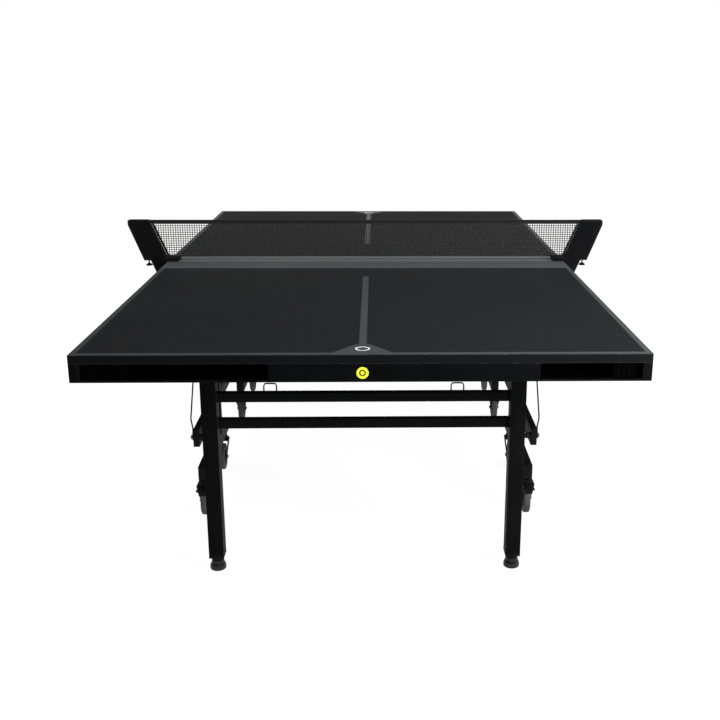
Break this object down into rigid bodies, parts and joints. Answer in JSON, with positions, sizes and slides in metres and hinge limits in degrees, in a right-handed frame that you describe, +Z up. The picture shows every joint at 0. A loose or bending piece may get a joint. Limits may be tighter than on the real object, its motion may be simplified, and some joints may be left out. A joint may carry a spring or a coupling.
{
  "type": "ping pong table",
  "caption": "Full-size folding ping pong table with a fixed net on slanted posts, end pockets, square end legs and a rolling undercarriage on casters.",
  "frame": {"origin": "on the floor, under the middle of the net", "axes": "+Z up, +Y along the table towards the far end, +X across the table to the right as seen from the near end"},
  "size_m": [1.83, 2.74, 0.9125],
  "materials": {
    "playing_board": "matte charcoal playing paint on board",
    "powder_coat": "satin black powder coat",
    "cast_black": "smooth satin black",
    "black_plastic": "moulded black nylon",
    "rubber": "matte black rubber",
    "grey_tyre": "grey polyurethane",
    "zinc_steel": "zinc plated",
    "net_cord": "black braided cord and tape",
    "badge_enamel": "gloss yellow"
  },
  "bodies": {
    "chassis": {"near_cross_tube": "powder_coat", "near_left_wheel_frame": "powder_coat", "near_right_wheel_frame": "powder_coat", "far_cross_tube": "powder_coat", "far_left_wheel_frame": "powder_coat", "far_right_wheel_frame": "powder_coat", "left_side_rail": "powder_coat", "left_net_post": "cast_black", "right_side_rail": "powder_coat", "right_net_post": "cast_black", "net_beam": "powder_coat", "net": "net_cord", "net_tape": "net_cord"},
    "near_top": {"near_board": "playing_board", "near_end_rail": "powder_coat", "near_seam_rail": "powder_coat", "near_leg_bearer": "powder_coat", "near_fold_bar": "powder_coat", "near_left_apron_rail": "powder_coat", "near_right_apron_rail": "powder_coat", "near_badge": "badge_enamel"},
    "near_legs": {"near_leg_frame": "powder_coat"},
    "near_left_foot": {"near_left_levelling_foot": "rubber"},
    "near_left_catch": {"near_left_catch_rod": "zinc_steel"},
    "near_left_outer_caster": {"near_left_outer_fork": "black_plastic"},
    "near_left_outer_roller": {"near_left_outer_wheel": "grey_tyre"},
    "near_left_brake": {"near_left_brake_pedal": "black_plastic"},
    "near_left_inner_caster": {"near_left_inner_fork": "black_plastic"},
    "near_left_inner_roller": {"near_left_inner_wheel": "grey_tyre"},
    "near_right_foot": {"near_right_levelling_foot": "rubber"},
    "near_right_catch": {"near_right_catch_rod": "zinc_steel"},
    "near_right_outer_caster": {"near_right_outer_fork": "black_plastic"},
    "near_right_outer_roller": {"near_right_outer_wheel": "grey_tyre"},
    "near_right_brake": {"near_right_brake_pedal": "black_plastic"},
    "near_right_inner_caster": {"near_right_inner_fork": "black_plastic"},
    "near_right_inner_roller": {"near_right_inner_wheel": "grey_tyre"},
    "far_top": {"far_board": "playing_board", "far_end_rail": "powder_coat", "far_seam_rail": "powder_coat", "far_leg_bearer": "powder_coat", "far_fold_bar": "powder_coat", "far_left_apron_rail": "powder_coat", "far_right_apron_rail": "powder_coat"},
    "far_legs": {"far_leg_frame": "powder_coat"},
    "far_left_foot": {"far_left_levelling_foot": "rubber"},
    "far_left_catch": {"far_left_catch_rod": "zinc_steel"},
    "far_left_outer_caster": {"far_left_outer_fork": "black_plastic"},
    "far_left_outer_roller": {"far_left_outer_wheel": "grey_tyre"},
    "far_left_brake": {"far_left_brake_pedal": "black_plastic"},
    "far_left_inner_caster": {"far_left_inner_fork": "black_plastic"},
    "far_left_inner_roller": {"far_left_inner_wheel": "grey_tyre"},
    "far_right_foot": {"far_right_levelling_foot": "rubber"},
    "far_right_catch": {"far_right_catch_rod": "zinc_steel"},
    "far_right_outer_caster": {"far_right_outer_fork": "black_plastic"},
    "far_right_outer_roller": {"far_right_outer_wheel": "grey_tyre"},
    "far_right_brake": {"far_right_brake_pedal": "black_plastic"},
    "far_right_inner_caster": {"far_right_inner_fork": "black_plastic"},
    "far_right_inner_roller": {"far_right_inner_wheel": "grey_tyre"},
    "left_screw": {"left_height_screw": "black_plastic"},
    "right_screw": {"right_height_screw": "black_plastic"}
  },
  "joints": [
    {"name": "near_top_fold", "type": "hinge", "parent": "chassis", "child": "near_top", "pos_m": [0, -0.35, 0.717], "axis": [-1, 0, 0], "range_deg": [0, 90]},
    {"name": "near_legs_fold", "type": "hinge", "parent": "near_top", "child": "near_legs", "pos_m": [0, -1.088, 0.69], "axis": [1, 0, 0], "range_deg": [0, 90]},
    {"name": "near_left_foot_screw", "type": "slide", "parent": "near_legs", "child": "near_left_foot", "axis": [0, 0, -1], "range_m": [0, 0.015]},
    {"name": "near_left_catch_swing", "type": "hinge", "parent": "chassis", "child": "near_left_catch", "pos_m": [-0.575, -0.722, 0.292], "axis": [-1, 0, 0], "range_deg": [0, 12]},
    {"name": "near_left_outer_swivel", "type": "hinge", "parent": "chassis", "child": "near_left_outer_caster", "pos_m": [-0.551, -0.712, 0.14], "axis": [0, 0, 1], "continuous": true},
    {"name": "near_left_outer_roll", "type": "hinge", "parent": "near_left_outer_caster", "child": "near_left_outer_roller", "pos_m": [-0.551, -0.69, 0.05], "axis": [1, 0, 0], "continuous": true},
    {"name": "near_left_brake_tip", "type": "hinge", "parent": "near_left_outer_caster", "child": "near_left_brake", "pos_m": [-0.551, -0.732, 0.112], "axis": [1, 0, 0], "range_deg": [0, 8]},
    {"name": "near_left_inner_swivel", "type": "hinge", "parent": "chassis", "child": "near_left_inner_caster", "pos_m": [-0.551, -0.262, 0.14], "axis": [0, 0, 1], "continuous": true},
    {"name": "near_left_inner_roll", "type": "hinge", "parent": "near_left_inner_caster", "child": "near_left_inner_roller", "pos_m": [-0.551, -0.284, 0.05], "axis": [1, 0, 0], "continuous": true},
    {"name": "near_right_foot_screw", "type": "slide", "parent": "near_legs", "child": "near_right_foot", "axis": [0, 0, -1], "range_m": [0, 0.015]},
    {"name": "near_right_catch_swing", "type": "hinge", "parent": "chassis", "child": "near_right_catch", "pos_m": [0.575, -0.722, 0.292], "axis": [-1, 0, 0], "range_deg": [0, 12]},
    {"name": "near_right_outer_swivel", "type": "hinge", "parent": "chassis", "child": "near_right_outer_caster", "pos_m": [0.551, -0.712, 0.14], "axis": [0, 0, 1], "continuous": true},
    {"name": "near_right_outer_roll", "type": "hinge", "parent": "near_right_outer_caster", "child": "near_right_outer_roller", "pos_m": [0.551, -0.69, 0.05], "axis": [1, 0, 0], "continuous": true},
    {"name": "near_right_brake_tip", "type": "hinge", "parent": "near_right_outer_caster", "child": "near_right_brake", "pos_m": [0.551, -0.732, 0.112], "axis": [1, 0, 0], "range_deg": [0, 8]},
    {"name": "near_right_inner_swivel", "type": "hinge", "parent": "chassis", "child": "near_right_inner_caster", "pos_m": [0.551, -0.262, 0.14], "axis": [0, 0, 1], "continuous": true},
    {"name": "near_right_inner_roll", "type": "hinge", "parent": "near_right_inner_caster", "child": "near_right_inner_roller", "pos_m": [0.551, -0.284, 0.05], "axis": [1, 0, 0], "continuous": true},
    {"name": "far_top_fold", "type": "hinge", "parent": "chassis", "child": "far_top", "pos_m": [0, 0.35, 0.717], "axis": [1, 0, 0], "range_deg": [0, 90]},
    {"name": "far_legs_fold", "type": "hinge", "parent": "far_top", "child": "far_legs", "pos_m": [0, 1.088, 0.69], "axis": [-1, 0, 0], "range_deg": [0, 90]},
    {"name": "far_left_foot_screw", "type": "slide", "parent": "far_legs", "child": "far_left_foot", "axis": [0, 0, -1], "range_m": [0, 0.015]},
    {"name": "far_left_catch_swing", "type": "hinge", "parent": "chassis", "child": "far_left_catch", "pos_m": [-0.575, 0.722, 0.292], "axis": [1, 0, 0], "range_deg": [0, 12]},
    {"name": "far_left_outer_swivel", "type": "hinge", "parent": "chassis", "child": "far_left_outer_caster", "pos_m": [-0.551, 0.712, 0.14], "axis": [0, 0, 1], "continuous": true},
    {"name": "far_left_outer_roll", "type": "hinge", "parent": "far_left_outer_caster", "child": "far_left_outer_roller", "pos_m": [-0.551, 0.69, 0.05], "axis": [1, 0, 0], "continuous": true},
    {"name": "far_left_brake_tip", "type": "hinge", "parent": "far_left_outer_caster", "child": "far_left_brake", "pos_m": [-0.551, 0.732, 0.112], "axis": [-1, 0, 0], "range_deg": [0, 8]},
    {"name": "far_left_inner_swivel", "type": "hinge", "parent": "chassis", "child": "far_left_inner_caster", "pos_m": [-0.551, 0.262, 0.14], "axis": [0, 0, 1], "continuous": true},
    {"name": "far_left_inner_roll", "type": "hinge", "parent": "far_left_inner_caster", "child": "far_left_inner_roller", "pos_m": [-0.551, 0.284, 0.05], "axis": [1, 0, 0], "continuous": true},
    {"name": "far_right_foot_screw", "type": "slide", "parent": "far_legs", "child": "far_right_foot", "axis": [0, 0, -1], "range_m": [0, 0.015]},
    {"name": "far_right_catch_swing", "type": "hinge", "parent": "chassis", "child": "far_right_catch", "pos_m": [0.575, 0.722, 0.292], "axis": [1, 0, 0], "range_deg": [0, 12]},
    {"name": "far_right_outer_swivel", "type": "hinge", "parent": "chassis", "child": "far_right_outer_caster", "pos_m": [0.551, 0.712, 0.14], "axis": [0, 0, 1], "continuous": true},
    {"name": "far_right_outer_roll", "type": "hinge", "parent": "far_right_outer_caster", "child": "far_right_outer_roller", "pos_m": [0.551, 0.69, 0.05], "axis": [1, 0, 0], "continuous": true},
    {"name": "far_right_brake_tip", "type": "hinge", "parent": "far_right_outer_caster", "child": "far_right_brake", "pos_m": [0.551, 0.732, 0.112], "axis": [-1, 0, 0], "range_deg": [0, 8]},
    {"name": "far_right_inner_swivel", "type": "hinge", "parent": "chassis", "child": "far_right_inner_caster", "pos_m": [0.551, 0.262, 0.14], "axis": [0, 0, 1], "continuous": true},
    {"name": "far_right_inner_roll", "type": "hinge", "parent": "far_right_inner_caster", "child": "far_right_inner_roller", "pos_m": [0.551, 0.284, 0.05], "axis": [1, 0, 0], "continuous": true},
    {"name": "left_height_screw_turn", "type": "slide", "parent": "chassis", "child": "left_screw", "axis": [0, 0, 1], "range_m": [-0.006, 0.006]},
    {"name": "right_height_screw_turn", "type": "slide", "parent": "chassis", "child": "right_screw", "axis": [0, 0, 1], "range_m": [-0.006, 0.006]}
  ],
  "couplings": [
    {"joint": "near_legs_fold", "follows": "near_top_fold", "ratio": 1},
    {"joint": "far_legs_fold", "follows": "far_top_fold", "ratio": 1}
  ]
}
